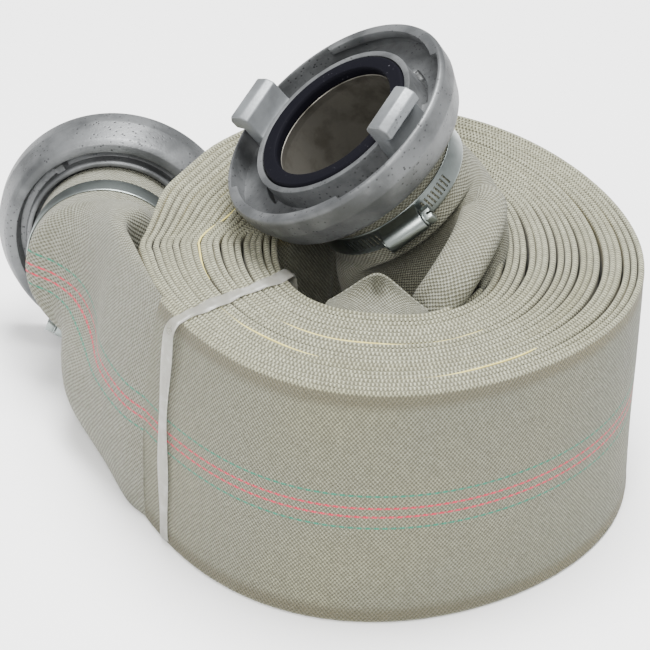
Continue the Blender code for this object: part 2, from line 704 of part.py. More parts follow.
def make_screw(side, clamp):
    """Worm with a slotted hexagon head, turning on its own axis in the housing."""
    stand = Matrix.Translation((WORM_CENTRE, 0, 0)) @ Matrix.Rotation(-math.pi / 2, 4, "X")
    worm_axis = new_empty("worm_axis_" + side, stand, clamp)
    name = "clamp_screw_" + side
    shank = cylinder_mesh(name, WORM_RADIUS, HOUSING_LENGTH + WORM_OVERHANG, WORM_SIDES)
    screw = place(name, shank, "zinc_plated_steel", worm_axis)
    head_base = HOUSING_LENGTH / 2 + GAP
    head = cylinder_mesh("head", HEAD_RADIUS, HEAD_LENGTH, 6,
                         (0.0, 0.0, head_base + HEAD_LENGTH / 2))
    width, length, depth = HEAD_SLOT
    slot_spot = Matrix.Translation((0.0, 0.0, head_base + HEAD_LENGTH))
    slot = box_mesh("slot", (width, length, 2 * depth), slot_spot)
    boolean(screw, as_cutter(head, "screw_head_" + side, worm_axis), "UNION")
    boolean(screw, as_cutter(slot, "screw_slot_" + side, worm_axis), "DIFFERENCE")


# -------------------------------------------------------------------- assembly
clear_scene()
hose = new_collection("rolled_fire_hose")
cutters = new_collection("cutters")
materials = {name: new_material(name) for name in MATERIALS}
frame = new_empty("roll_axis", Matrix.Translation(ROLL_AXIS))

make_roll()
make_strap()
for end_name, coupling_data in COUPLINGS.items():
    coupling_seat = new_empty("coupling_" + end_name, coupling_matrix(coupling_data), frame)
    make_neck(end_name, coupling_data)
    make_lug_ring(end_name, coupling_seat, coupling_data["spin"])
    make_tail(end_name, coupling_seat)
    make_seal(end_name, coupling_seat)
    make_snap_ring(end_name, coupling_seat)
    make_lining(end_name, coupling_seat)
    make_clamp(end_name, coupling_seat, coupling_data["clamp"])
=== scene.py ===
"""Looks of the rolled fire hose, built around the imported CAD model.

Metres, +Z up, in the CAD model's own frame. The hose is one long strip wound on edge.
Each of its ends opens from flat to round and is clamped on a coupling.
"""
import json
import math

import bmesh
import bpy
import numpy as np
from mathutils import Matrix, Vector


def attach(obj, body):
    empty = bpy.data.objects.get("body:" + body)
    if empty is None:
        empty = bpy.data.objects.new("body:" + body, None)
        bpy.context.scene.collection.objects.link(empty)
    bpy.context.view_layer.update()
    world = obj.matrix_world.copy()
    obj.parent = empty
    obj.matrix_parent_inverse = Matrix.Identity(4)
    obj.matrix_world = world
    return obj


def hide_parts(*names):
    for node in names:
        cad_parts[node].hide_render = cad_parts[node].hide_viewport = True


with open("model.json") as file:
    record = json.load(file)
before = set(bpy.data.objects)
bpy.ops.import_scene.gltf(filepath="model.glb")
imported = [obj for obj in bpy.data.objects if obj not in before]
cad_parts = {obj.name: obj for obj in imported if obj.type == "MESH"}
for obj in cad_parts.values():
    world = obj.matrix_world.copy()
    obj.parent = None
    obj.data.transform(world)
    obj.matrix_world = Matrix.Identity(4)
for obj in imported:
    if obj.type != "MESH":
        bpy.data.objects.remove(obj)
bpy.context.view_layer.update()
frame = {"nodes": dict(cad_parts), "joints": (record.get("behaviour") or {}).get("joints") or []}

JOINTS = {joint["name"]: joint for joint in frame["joints"]}
SIDES = ("inner", "outer")
TAU = math.tau

# ------------------------------------------------------------ design dimensions
ROLL_AXIS = np.array((0.0377, 0.0015, 0.0))
LAY_FLAT = 0.126            # width of the flattened hose
STRIP = 0.0028              # thickness of the flattened hose in its middle
EDGE_BEAD = 0.0030          # thickness near the folded edges
GIRTH = 0.2540              # once round the hose, over both faces
TURNS = 20 + 7 / 24
COIL_STEPS = 108            # rings in one turn
START_ANGLE = math.radians(-40.0)
OUTER_RADIUS = 0.1266
OUTER_WAVES = ((2, -0.050, -0.025), (3, 0.013, 0.009), (4, 0.006, -0.013))
SLACK_SIDE = (math.radians(-158.0), math.radians(26.0))     # middle, spread: outer turns slack here
SLACK_DEPTH = 0.0085
SLACK_LEAN = 0.0038
SWELL_SIDE = (math.radians(5.0), math.radians(62.0))        # middle, spread: roll fuller here
SWELL_DEPTH = 0.0042
TOP_LEAN = 0.0050           # how far the outermost turn's top edge leans in
FOOT_LEAN = 0.0020
FOOT_SPREAD = 0.0040        # how far the outermost turns' foot spreads where they aren't slack
HOLLOW_HALF = (0.0520, 0.0665)
HOLLOW_CENTRE_X = 0.0030
HOLLOW_POWER = 2.6
FLAT_SIDE_ANGLE = math.radians(154.4)
FLAT_SIDE_OUTER = 0.1025
FLAT_SIDE_INNER = 0.0442
FLARE_ANGLE = math.radians(150.0)       # the outer turns' top edge stands out on this side
FLARE_HALF = math.radians(27.0)
FLARE_REACH = 0.0165
STRAP_ANGLE = math.radians(-137.5)
STRAP_HALF_WIDTH = 0.0034

# Coupling: radii, and depths below its face
RIM_RADIUS = 0.0620
RING_DEPTH = 0.0250
WALL_INNER = 0.0592
LIP_INNER = 0.0562
LIP_DEPTH = 0.0040
CHANNEL_FLOOR = 0.0115
COLLAR_OUTER = 0.0438
COLLAR_INNER = 0.0406
BARREL_OUTER = 0.0375
BARREL_BORE = 0.0345
BARREL_END = 0.0580
SEAL_BORE = 0.0325
HEAD_TOP = 0.0052
HEAD_BOTTOM = 0.0100
SHOULDER_BOTTOM = 0.0160
HUB_BORE = 0.0422
HUB_OUTER = 0.0452
RECESS_OUTER = 0.0500
RECESS_FLOOR = 0.0185
GAP = 0.0003
HOSE_END = 0.0208
JACKET_OUTER = 0.0403
BAND_CENTRE = 0.0440
BAND_WIDTH = 0.0120
BAND_INNER = JACKET_OUTER + GAP
BAND_THICKNESS = 0.0007
ENTRY_HALF = math.radians(48.0)         # half of each gap in the lip that a mating lug enters
LUG_HALF = math.radians(12.5)
SPIN = {"inner": math.radians(37.0), "outer": math.radians(8.0)}
CLAMP_ANGLE = {"inner": 0.0, "outer": math.radians(-70.0)}
HOUSING_HALF = 0.0105
HOUSING_RADIUS = 0.0052
WORM_RADIUS = 0.0034
WORM_PITCH = 0.0026
HEAD_RADIUS = 0.0048
WORM_CENTRE = BAND_INNER + BAND_THICKNESS + GAP + HOUSING_RADIUS

# Stations of each hose end between roll and clamp, from the roll outwards, from the roll's axis:
# centre, half height, half thickness, squareness, share of the turn from upright to square on,
# belly (how far the middle stands out past the folds), lean (bottom fold out, top fold in),
# lobe (extra swell of the lower half of the outer face), bead (radius of the puffed top fold).
NECKS = {
    "inner": (
        ((0.0480, -0.0185, 0.0650), 0.0630, 0.0030, 5.0, 0.04, 0.0, 0.0, 0.0, 0.0075),
        ((0.0400, -0.0020, 0.0780), 0.0600, 0.0075, 4.0, 0.22, 0.0, 0.0, 0.0, 0.0105),
        ((0.0275, 0.0090, 0.0985), 0.0540, 0.0140, 2.8, 0.50, 0.0, 0.0, 0.0, 0.0120),
        ((0.0140, 0.0175, 0.1235), 0.0455, 0.0290, 2.2, 0.86, 0.0, 0.0, 0.0, 0.0060),
    ),
    "outer": (
        ((-0.1100, -0.0527, 0.0633), 0.0628, 0.0020, 6.0, 0.20, 0.0075, 0.0047, 0.0, 0.0),
        ((-0.1205, -0.0280, 0.0637), 0.0624, 0.0035, 5.0, 0.42, 0.0080, 0.0045, 0.0030, 0.0),
        ((-0.1290, -0.0040, 0.0640), 0.0618, 0.0060, 4.0, 0.62, 0.0020, 0.0040, 0.0120, 0.0),
        ((-0.1268, 0.0120, 0.0655), 0.0580, 0.0155, 3.2, 0.78, 0.0, 0.0030, 0.0120, 0.0),
        ((-0.1275, 0.0255, 0.0670), 0.0515, 0.0230, 2.6, 0.90, 0.0, 0.0010, 0.0070, 0.0),
        ((-0.1308, 0.0355, 0.0678), 0.0455, 0.0315, 2.2, 0.97, 0.0, 0.0, 0.0015, 0.0),
    ),
}
PLEAT_ANGLE = math.radians(-90.0)       # fold of the innermost turn at the front of the hollow
PLEAT_HALF = math.radians(21.0)
PLEAT_LEAN = 0.0115
PLEAT_RISE = 0.0120
RIDGE_PATH = (              # middle of the rolled fold, from the roll's axis
    (0.0205, -0.0490, 0.1090), (0.0275, -0.0500, 0.1225), (0.0345, -0.0455, 0.1335),
    (0.0415, -0.0335, 0.1415), (0.0462, -0.0190, 0.1460), (0.0478, -0.0030, 0.1470),
    (0.0440, 0.0090, 0.1420), (0.0380, 0.0150, 0.1350),
)
RIDGE_FACING = (-0.25, -0.70, 0.65)
RIDGE_HALF_WIDTH = 0.0113
RIDGE_HALF_DEPTH = 0.0068
YARNS = (                   # first turn, how much of a turn
    (3.62, 0.10), (5.40, 0.16), (7.05, 0.22), (8.52, 0.12), (10.31, 0.25), (12.18, 0.13),
    (14.44, 0.18), (16.02, 0.12),
)
NECK_SUBSTEPS = 14
NECK_POINTS = 96            # points round one section of a hose end
WALL = 0.0011


# ------------------------------------------------------------------- utilities
def unit(vector):
    return vector / np.linalg.norm(vector, axis=-1, keepdims=True)


def smooth(value, low, high):
    """0 below low, 1 above high, with an eased step between."""
    share = np.clip((np.asarray(value, float) - low) / (high - low), 0.0, 1.0)
    return share * share * (3.0 - 2.0 * share)


def bell(angle, middle, spread):
    """1 at the middle angle, falling to 0 on both sides."""
    off = np.remainder(angle - middle + math.pi, TAU) - math.pi
    return np.exp(-(off / spread) ** 2)


def run_length(points):
    """Distance along a line of points, at each of them."""
    return np.concatenate([[0.0], np.cumsum(np.linalg.norm(np.diff(points, axis=0), axis=1))])


def rectangle(half_x, half_y):
    return [(-half_x, -half_y), (half_x, -half_y), (half_x, half_y), (-half_x, half_y)]


def circle(radius, count):
    return [(radius * math.cos(turn), radius * math.sin(turn))
            for turn in np.arange(count) * TAU / count]


def finish_piece(piece, body, nodes=(), angle=40.0):
    """Shade a finished piece, hang it on its body and hide the model parts it stands for."""
    piece.data.transform(piece.matrix_world)
    piece.matrix_world = Matrix.Identity(4)
    piece.data.shade_smooth()
    piece.data.set_sharp_from_angle(angle=math.radians(angle))
    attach(piece, body)
    if nodes:
        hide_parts(*nodes)
    return piece


def linked(name, data):
    thing = bpy.data.objects.new(name, data)
    bpy.context.scene.collection.objects.link(thing)
    return thing


def new_object(name, mesh, material, matrix=None):
    piece = linked(name, mesh)
    piece.data.materials.append(MATERIALS[material])
    if matrix is not None:
        piece.matrix_world = matrix
    return piece


def lofted(name, skins, caps=(), along=None, around=None):
    """Mesh from grids of points [ring, point, xyz], each closed round its rings.

    caps pairs up end rings, (skin, ring, skin, ring), or closes one with (skin, ring).
    along and around give each skin's distances in metres for the cloth map.
    """
    points, quads, uvs, starts = [], [], [], []
    offset = 0
    for index, grid in enumerate(skins):
        rings, count = grid.shape[:2]
        points.append(grid.reshape(-1, 3))
        starts.append((offset, rings, count))
        ring, point = np.meshgrid(np.arange(rings - 1), np.arange(count), indexing="ij")
        after = (point + 1) % count
        quads.append(np.stack([offset + ring * count + point, offset + ring * count + after,
                               offset + (ring + 1) * count + after,
                               offset + (ring + 1) * count + point], -1).reshape(-1, 4))
        if along is not None:
            u = np.stack([along[index][ring], along[index][ring],
                          along[index][ring + 1], along[index][ring + 1]], -1)
            wrapped = np.append(around[index], around[index][0] + GIRTH)
            v = np.stack([wrapped[point], wrapped[point + 1],
                          wrapped[point + 1], wrapped[point]], -1)
            uvs.append(np.stack([u, v], -1).reshape(-1, 2))
        offset += rings * count
    faces = np.concatenate(quads).tolist()
    extra = []
    for cap in caps:
        loops = []
        for skin, ring in zip(cap[::2], cap[1::2]):
            start, rings, count = starts[skin]
            first = start + (ring % rings) * count
            loops.append(list(range(first, first + count)))
        if len(loops) == 1:
            extra.append(loops[0])
        else:
            count = len(loops[0])
            for point in range(count):
                after = (point + 1) % count
                extra.append([loops[0][point], loops[0][after],
                              loops[1][after], loops[1][point]])
    mesh = bpy.data.meshes.new(name)
    mesh.from_pydata(np.concatenate(points).tolist(), [], faces + extra)
    if along is not None:
        layer = mesh.uv_layers.new(name="cloth")
        values = np.zeros((len(mesh.loops), 2), np.float32)
        flat = np.concatenate(uvs)
        values[:len(flat)] = flat
        layer.data.foreach_set("uv", values.ravel())
    shape = bmesh.new()
    shape.from_mesh(mesh)
    bmesh.ops.recalc_face_normals(shape, faces=shape.faces)
    shape.to_mesh(mesh)
    shape.free()
    return mesh


def filleted(profile, radius, steps=3):
    """Round every corner of a closed (r, z) profile, less where the sides are short."""
    corners = [np.array(point, float) for point in profile]
    count = len(corners)
    result = []
    for index, corner in enumerate(corners):
        back = corners[index - 1] - corner
        ahead = corners[(index + 1) % count] - corner
        reach = min(radius, 0.45 * np.linalg.norm(back), 0.45 * np.linalg.norm(ahead))
        start, end = corner + unit(back) * reach, corner + unit(ahead) * reach
        for step in range(steps + 1):
            share = step / steps
            result.append((1 - share) ** 2 * start + 2 * share * (1 - share) * corner
                          + share ** 2 * end)
    return np.array(result)


def turned(name, profile_at, steps, material, matrix):
    """Turn a closed profile, given as a function of the angle, round local Z."""
    grid = []
    for step in range(steps):
        angle = TAU * step / steps
        profile = profile_at(angle)
        grid.append(np.stack([profile[:, 0] * math.cos(angle), profile[:, 0] * math.sin(angle),
                              profile[:, 1]], -1))
    skin = np.array(grid)
    mesh = lofted(name, [skin], caps=((0, -1, 0, 0),))
    return new_object(name, mesh, material, matrix)


def joined_mesh(name, meshes):
    shape = bmesh.new()
    for mesh in meshes:
        shape.from_mesh(mesh)
    whole = bpy.data.meshes.new(name)
    shape.to_mesh(whole)
    shape.free()
    return whole


def bevelled(mesh, width, segments, angle=30.0):
    """Round a mesh's sharp edges."""
    shape = bmesh.new()
    shape.from_mesh(mesh)
    sharp = [edge for edge in shape.edges
             if edge.is_manifold and edge.calc_face_angle() > math.radians(angle)]
    bmesh.ops.bevel(shape, geom=sharp, offset=width, segments=segments, affect="EDGES",
                    profile=0.5, clamp_overlap=True)
    bmesh.ops.recalc_face_normals(shape, faces=shape.faces)
    shape.to_mesh(mesh)
    shape.free()
    return mesh


def prism(name, outline, low, high, matrix=None, taper=1.0):
    """Closed (x, y) outline extruded along Z; taper shrinks the far end about its middle."""
    outline = np.array(outline, float)
    middle = outline.mean(0)
    shape = bmesh.new()
    bottom = [shape.verts.new((*point, low)) for point in outline]
    top = [shape.verts.new((*(middle + (point - middle) * taper), high)) for point in outline]
    shape.faces.new(bottom)
    shape.faces.new(top)
    for index in range(len(outline)):
        after = (index + 1) % len(outline)
        shape.faces.new((bottom[index], bottom[after], top[after], top[index]))
    bmesh.ops.recalc_face_normals(shape, faces=shape.faces)
    if matrix is not None:
        shape.transform(matrix)
    mesh = bpy.data.meshes.new(name)
    shape.to_mesh(mesh)
    shape.free()
    return mesh


def cut(piece, cutter_mesh):
    """Take a closed mesh, given in the piece's own frame, out of a piece for good."""
    tool = linked("cutter", cutter_mesh)
    tool.matrix_world = piece.matrix_world
    modifier = piece.modifiers.new("cut", "BOOLEAN")
    modifier.operation = "DIFFERENCE"
    modifier.solver = "EXACT"
    modifier.object = tool
    bpy.context.view_layer.update()
    graph = bpy.context.evaluated_depsgraph_get()
    mesh = bpy.data.meshes.new_from_object(piece.evaluated_get(graph))
    piece.modifiers.clear()
    piece.data = mesh
    bpy.data.objects.remove(tool, do_unlink=True)


def coupling_frame(side):
    """Local Z along the way the coupling faces, local X level, from the swivel joint."""
    joint = JOINTS["swivel_" + side]
    facing = Vector(joint["axis"]).normalized()
    level = Vector((0.0, 0.0, 1.0)).cross(facing).normalized()
    turn = Matrix((level, facing.cross(level), facing)).transposed().to_4x4()
    return Matrix.Translation(Vector(joint["pos_m"])) @ turn


# ------------------------------------------------------------------- materials
class Shader:
    """Short calls for laying out one material's nodes."""

    def __init__(self, name, colour, roughness, metallic=0.0, **constants):
        self.material = bpy.data.materials.new(name)
        self.material.use_nodes = True
        self.tree = self.material.node_tree
        self.surface = self.tree.nodes["Principled BSDF"]
        self.spot = self.tree.nodes.new("ShaderNodeTexCoord").outputs["Object"]
        self.set("Base Color", (*colour, 1.0))
        self.set("Roughness", roughness)
        self.set("Metallic", metallic)
        for socket, value in constants.items():
            self.set(socket.replace("_", " "), value)

    def set(self, socket, value):
        self.surface.inputs[socket].default_value = value

    def into(self, socket, output):
        self.tree.links.new(output, self.surface.inputs[socket])

    def plug(self, value, socket):
        if isinstance(value, bpy.types.NodeSocket):
            self.tree.links.new(value, socket)
        else:
            socket.default_value = value

    def math(self, operation, *values):
        node = self.tree.nodes.new("ShaderNodeMath")
        node.operation = operation
        for value, socket in zip(values, node.inputs):
            self.plug(value, socket)
        return node.outputs[0]

    def mix(self, share, first, second):
        node = self.tree.nodes.new("ShaderNodeMix")
        node.data_type = "RGBA"
        self.plug(share, node.inputs[0])
        for value, socket in ((first, node.inputs[6]), (second, node.inputs[7])):
            self.plug((*value, 1.0) if isinstance(value, tuple) else value, socket)
        return node.outputs[2]

    def step(self, value, low, high):
        """0 below low, 1 above high, eased between."""
        node = self.tree.nodes.new("ShaderNodeMapRange")
        node.interpolation_type = "SMOOTHSTEP"
        for item, socket in zip((value, low, high, 0.0, 1.0), node.inputs):
            self.plug(item, socket)
        return node.outputs[0]

    def cloth_map(self):
        node = self.tree.nodes.new("ShaderNodeUVMap")
        node.uv_map = "cloth"
        split = self.tree.nodes.new("ShaderNodeSeparateXYZ")
        self.tree.links.new(node.outputs[0], split.inputs[0])
        return split.outputs[0], split.outputs[1]

    def noise(self, scale, detail, length=None):
        """Cloudy noise in space, or along one length."""
        node = self.tree.nodes.new("ShaderNodeTexNoise")
        if length is None:
            self.plug(self.spot, node.inputs["Vector"])
        else:
            node.noise_dimensions = "1D"
            self.plug(length, node.inputs["W"])
        node.inputs["Scale"].default_value = scale
        node.inputs["Detail"].default_value = detail
        node.inputs["Roughness"].default_value = 0.55
        return node.outputs["Fac"]

    def patches(self, scale, detail, low, high, length=None):
        return self.step(self.noise(scale, detail, length), low, high)

    def cells(self, scale):
        node = self.tree.nodes.new("ShaderNodeTexVoronoi")
        self.plug(self.spot, node.inputs["Vector"])
        node.inputs["Scale"].default_value = scale
        return node.outputs["Distance"]

    def colour(self, share, first, second):
        self.into("Base Color", self.mix(share, first, second))

    def rough(self, share, extra, least):
        self.into("Roughness", self.math("MULTIPLY_ADD", share, extra, least))

    def bump(self, height, strength, distance):
        node = self.tree.nodes.new("ShaderNodeBump")
        node.inputs["Strength"].default_value = strength
        node.inputs["Distance"].default_value = distance
        self.tree.links.new(height, node.inputs["Height"])
        self.into("Normal", node.outputs[0])


WEAVE_ALONG = 0.00195       # distance between raised threads along the hose
WEAVE_ACROSS = 0.00240
STITCH_PITCH = 0.0039
STITCH_HALF_WIDTH = 0.00052
STITCHES = (                # place across the outer face, colour
    (0.0091, (0.01, 0.17, 0.10)),
    (0.0023, (0.52, 0.015, 0.05)),
    (-0.0026, (0.52, 0.015, 0.05)),
    (-0.0090, (0.01, 0.17, 0.10)),
)


def woven_jacket(name, wound):
    """Plain weave of thick polyester yarn, with four dashed lines along one face.

    wound adds what only shows where the hose lies in turns: painted highlight on the exposed folds and
    painted shade, patched with ochre, in the grooves.
    """
    shader = Shader(name, (0.45, 0.43, 0.36), 0.85, Sheen_Weight=0.10, Sheen_Roughness=0.5)
    u, v = shader.cloth_map()
    v = shader.math("WRAP", v, GIRTH / 2, -GIRTH / 2)
    drift = shader.math("MULTIPLY", shader.noise(120.0, 2.0), 0.0009)
    threads = []
    for distance, spacing in ((u, WEAVE_ALONG), (v, WEAVE_ACROSS)):
        threads.append(shader.math("COSINE", shader.math(
            "MULTIPLY", shader.math("ADD", distance, drift), TAU / spacing)))
    weave = shader.math("MULTIPLY", *threads)
    fuzz = shader.noise(900.0, 2.0)
    raised = shader.step(shader.math("MULTIPLY_ADD", fuzz, 1.1, weave), -0.15, 1.15)
    age = shader.patches(7.0, 4.0, 0.42, 0.66)
    if wound:
        fold = shader.math("ABSOLUTE", shader.math("SUBTRACT", shader.math("ABSOLUTE", v),
                                                   GIRTH / 4))
        # Painted highlight: the fold tips, exposed on top of the roll, are painted paler than the
        # faces.
        fold_highlight_colour = shader.mix(shader.step(fold, 0.0030, 0.0080), (0.352, 0.352, 0.252),
                           (0.184, 0.192, 0.154))
        turn = shader.patches(2.3, 2.0, 0.45, 0.68, u)
        tint = shader.math("MULTIPLY_ADD", turn, 0.35, shader.math("MULTIPLY", age, 0.40))
        thread = shader.mix(tint, fold_highlight_colour, (0.245, 0.236, 0.140))
        # Painted shade: the groove walls just under the fold tips are painted dark brown, with patches
        # of real ochre tint.
        groove_shade_and_ochre = shader.mix(shader.patches(1.7, 1.0, 0.48, 0.58, u),
                            (0.085, 0.070, 0.035), (0.20, 0.155, 0.03))
        deep = shader.math("MULTIPLY", shader.step(fold, 0.0008, 0.0020),
                           shader.math("SUBTRACT", 1.0, shader.step(fold, 0.0050, 0.0110)))
        thread = shader.mix(shader.math("MULTIPLY", deep, 0.80), thread, groove_shade_and_ochre)
    else:
        thread = shader.mix(shader.math("MULTIPLY", age, 0.45), (0.238, 0.242, 0.192),
                            (0.200, 0.195, 0.132))
    slub = shader.math("SUBTRACT", 1.0, shader.patches(330.0, 2.0, 0.30, 0.70))
    thread = shader.mix(shader.math("MULTIPLY", slub, 0.42), thread, (0.12, 0.116, 0.075))
    # Painted shade: the low parts between raised threads are mixed most of the way towards dark brown.
    cloth = shader.mix(raised, shader.mix(0.88, thread, (0.060, 0.056, 0.030)), thread)
    for place, colour in STITCHES:
        near = shader.math("SUBTRACT", 1.0, shader.step(
            shader.math("ABSOLUTE", shader.math("SUBTRACT", v, place)),
            STITCH_HALF_WIDTH * 0.7, STITCH_HALF_WIDTH * 1.4))
        beat = shader.math("COSINE", shader.math(
            "MULTIPLY", shader.math("ADD", u, place * 0.4), TAU / STITCH_PITCH))
        dash = shader.math("MULTIPLY", near, shader.step(beat, -0.75, 0.05))
        weak = shader.math("MULTIPLY", near, 0.40)
        cloth = shader.mix(shader.math("MAXIMUM", dash, weak), cloth, colour)
    shader.into("Base Color", cloth)
    shader.bump(raised, 0.9, 0.0007)
    return shader.material


def cast_aluminium(name, colour, dark, pits):
    """Grey casting: mottled, and pitted in patches."""
    shader = Shader(name, colour, 0.46, 0.55)
    grain = shader.noise(700.0, 3.0)
    tone = shader.mix(shader.patches(38.0, 6.0, 0.38, 0.64), colour, dark)
    hole = shader.math("SUBTRACT", 1.0, shader.step(shader.math(
        "MULTIPLY_ADD", grain, 0.25, shader.cells(420.0)), 0.20, 0.42))
    pit = shader.math("MULTIPLY", hole, shader.patches(45.0, 2.0, pits, pits + 0.12))
    shader.colour(pit, tone, (0.03, 0.03, 0.032))
    shader.rough(grain, 0.25, 0.34)
    shader.bump(shader.math("SUBTRACT", grain, shader.math("MULTIPLY", pit, 1.5)), 0.30, 0.0003)
    return shader.material


def turned_aluminium():
    """Bore and barrel: dull turned metal with stains."""
    shader = Shader("turned_aluminium", (0.25, 0.24, 0.22), 0.50, 0.7)
    stain = shader.patches(60.0, 5.0, 0.45, 0.70)
    shader.colour(stain, (0.135, 0.128, 0.110), (0.06, 0.055, 0.044))
    shader.rough(stain, 0.2, 0.45)
    shader.bump(shader.noise(260.0, 4.0), 0.15, 0.0003)
    return shader.material


def plated_steel(name, colour, roughness):
    """Metal plate with darker blotches and fine rolling marks."""
    shader = Shader(name, colour, roughness, 1.0)
    blotch = shader.noise(90.0, 4.0)
    shader.colour(shader.step(blotch, 0.40, 0.75), colour, tuple(part * 0.72 for part in colour))
    shader.rough(blotch, 0.22, roughness - 0.08)
    shader.bump(shader.noise(500.0, 2.0), 0.06, 0.0002)
    return shader.material


def black_rubber():
    """Moulded rubber with a little pale dust."""
    black = (0.004, 0.004, 0.006)
    shader = Shader("black_rubber", black, 0.70, Specular_IOR_Level=0.03)
    dust = shader.math("MULTIPLY", shader.patches(900.0, 2.0, 0.70, 0.78),
                       shader.patches(50.0, 2.0, 0.50, 0.68))
    shader.colour(dust, black, (0.20, 0.20, 0.22))
    shader.rough(shader.noise(120.0, 3.0), 0.25, 0.50)
    shader.bump(shader.noise(350.0, 3.0), 0.10, 0.0003)
    return shader.material


def rubber_lining():
    shader = Shader("rubber_lining", (0.30, 0.19, 0.08), 0.62)
    shader.colour(shader.patches(70.0, 4.0, 0.40, 0.70), (0.34, 0.22, 0.09), (0.20, 0.12, 0.05))
    shader.bump(shader.noise(400.0, 3.0), 0.2, 0.0003)
    return shader.material


def clear_plastic():
    """Milky film with creases."""
    milky = (0.62, 0.61, 0.55)
    shader = Shader("clear_plastic", milky, 0.24, Transmission_Weight=0.80, IOR=1.45,
                    Specular_IOR_Level=0.6)
    crease = shader.noise(160.0, 4.0)
    shader.colour(shader.step(crease, 0.45, 0.75), milky, (0.85, 0.85, 0.82))
    shader.rough(crease, 0.3, 0.18)
    shader.bump(crease, 0.35, 0.0008)
    return shader.material


def loose_yarn():
    shader = Shader("loose_yarn", (0.55, 0.45, 0.10), 0.8)
    shader.colour(shader.noise(300.0, 2.0), (0.42, 0.33, 0.08), (0.66, 0.60, 0.20))
    shader.bump(shader.noise(1500.0, 2.0), 0.4, 0.0002)
    return shader.material


def painted_floor():
    shader = Shader("floor", (0.97, 0.97, 0.97), 0.7)
    shader.colour(shader.noise(3.0, 2.0), (0.965, 0.965, 0.965), (0.98, 0.98, 0.98))
    return shader.material


MATERIALS = {
    "woven_jacket": woven_jacket("woven_jacket", True),
    "woven_jacket_open": woven_jacket("woven_jacket_open", False),
    "loose_yarn": loose_yarn(),
    "floor": painted_floor(),
    "cast_aluminium": cast_aluminium("cast_aluminium", (0.135, 0.140, 0.143), (0.065, 0.068, 0.070),
                                     0.42),
    "worn_aluminium": cast_aluminium("worn_aluminium", (0.20, 0.212, 0.22), (0.125, 0.132, 0.137),
                                     0.55),
    "turned_aluminium": turned_aluminium(),
    "zinc_plated_steel": plated_steel("zinc_plated_steel", (0.27, 0.30, 0.29), 0.33),
    "spring_steel": plated_steel("spring_steel", (0.40, 0.40, 0.42), 0.36),
    "black_rubber": black_rubber(),
    "rubber_lining": rubber_lining(),
    "clear_plastic": clear_plastic(),
}


# ------------------------------------------------------------------- hose coil
def outer_outline(angle):
    radius = np.full_like(angle, OUTER_RADIUS)
    for count, cosine, sine in OUTER_WAVES:
        radius += OUTER_RADIUS * (cosine * np.cos(count * angle) + sine * np.sin(count * angle))
    radius += SLACK_DEPTH * bell(angle, *SLACK_SIDE) + SWELL_DEPTH * bell(angle, *SWELL_SIDE)
    return pressed_flat(radius, angle, FLAT_SIDE_OUTER)


def flare(angle):
    """1 where the outer turns' top edge stands out furthest, 0 away from it."""
    off = np.abs(np.remainder(angle - FLARE_ANGLE + math.pi, TAU) - math.pi)
    return 1 - smooth(off, 0.35 * FLARE_HALF, 1.6 * FLARE_HALF)


def inner_outline(angle):
    across, along = HOLLOW_HALF
    reach = np.abs(np.cos(angle) / across) ** HOLLOW_POWER
    reach += np.abs(np.sin(angle) / along) ** HOLLOW_POWER
    radius = reach ** (-1 / HOLLOW_POWER) + HOLLOW_CENTRE_X * np.cos(angle)
    return pressed_flat(radius, angle, FLAT_SIDE_INNER)


def pressed_flat(radius, angle, distance):
    facing = np.maximum(np.cos(angle - FLAT_SIDE_ANGLE), 1e-6)
    return np.minimum(radius, distance / facing)


def wander(turn, seed, rates=(0.31, 0.83, 1.37, 2.21, 3.13)):
    """Smooth number between about -1 and 1 that drifts along the hose."""
    total = np.zeros_like(turn)
    for index, rate in enumerate(rates):
        total += np.sin(TAU * rate * turn + seed * (index + 1) * 1.7) / (1 + 0.6 * index)
    return total / 2.2


def coil_path():
    """Middle line of the flat hose, inside to outside: turn, angle, radius."""
    count = round(TURNS * COIL_STEPS)
    turn = np.arange(count + 1) / COIL_STEPS
    angle = START_ANGLE - TAU * turn
    share = turn / TURNS
    inner, outer = inner_outline(angle), outer_outline(angle)
    radius = inner * (1 - share) + outer * share
    slack = smooth(turn, 0.3, 1.6) * (1 - smooth(turn, TURNS - 1.3, TURNS - 0.8))
    radius += 0.0007 * wander(turn, 2.0) * slack
    slope = np.gradient(inner * (1 - share) + outer * share, angle) / radius
    pitch = (EDGE_BEAD + 0.0001) * np.sqrt(1 + slope ** 2)
    for index in range(count - COIL_STEPS, -1, -1):
        radius[index] = min(radius[index], radius[index + COIL_STEPS] - pitch[index])
    return turn, angle, radius


def coil_section():
    """Flat hose's section: height, offset and distance round, from the outer face's middle."""
    half, middle, bead = LAY_FLAT / 2, STRIP / 2, EDGE_BEAD / 2
    upper = [(0.0, middle), (0.016, middle), (0.032, middle), (0.045, middle),
             (half - 0.0090, middle), (half - 0.0045, bead), (half - 0.0024, bead * 1.02),
             (half - 0.0012, bead * 0.93), (half - 0.0004, bead * 0.62)]
    face = np.array([(-height, thick) for height, thick in reversed(upper[1:])] + upper)
    centre = len(face) // 2
    loop = np.concatenate([face[centre:], [(half, 0.0)], face[::-1] * (1, -1), [(-half, 0.0)],
                           face[:centre]])
    heights, offsets = loop.T
    distance = heights * (GIRTH / 4) / half
    second_half = np.arange(len(loop)) > len(loop) // 2
    distance = np.where(offsets < 0, GIRTH / 2 - distance, distance + GIRTH * second_half)
    return heights, offsets, distance


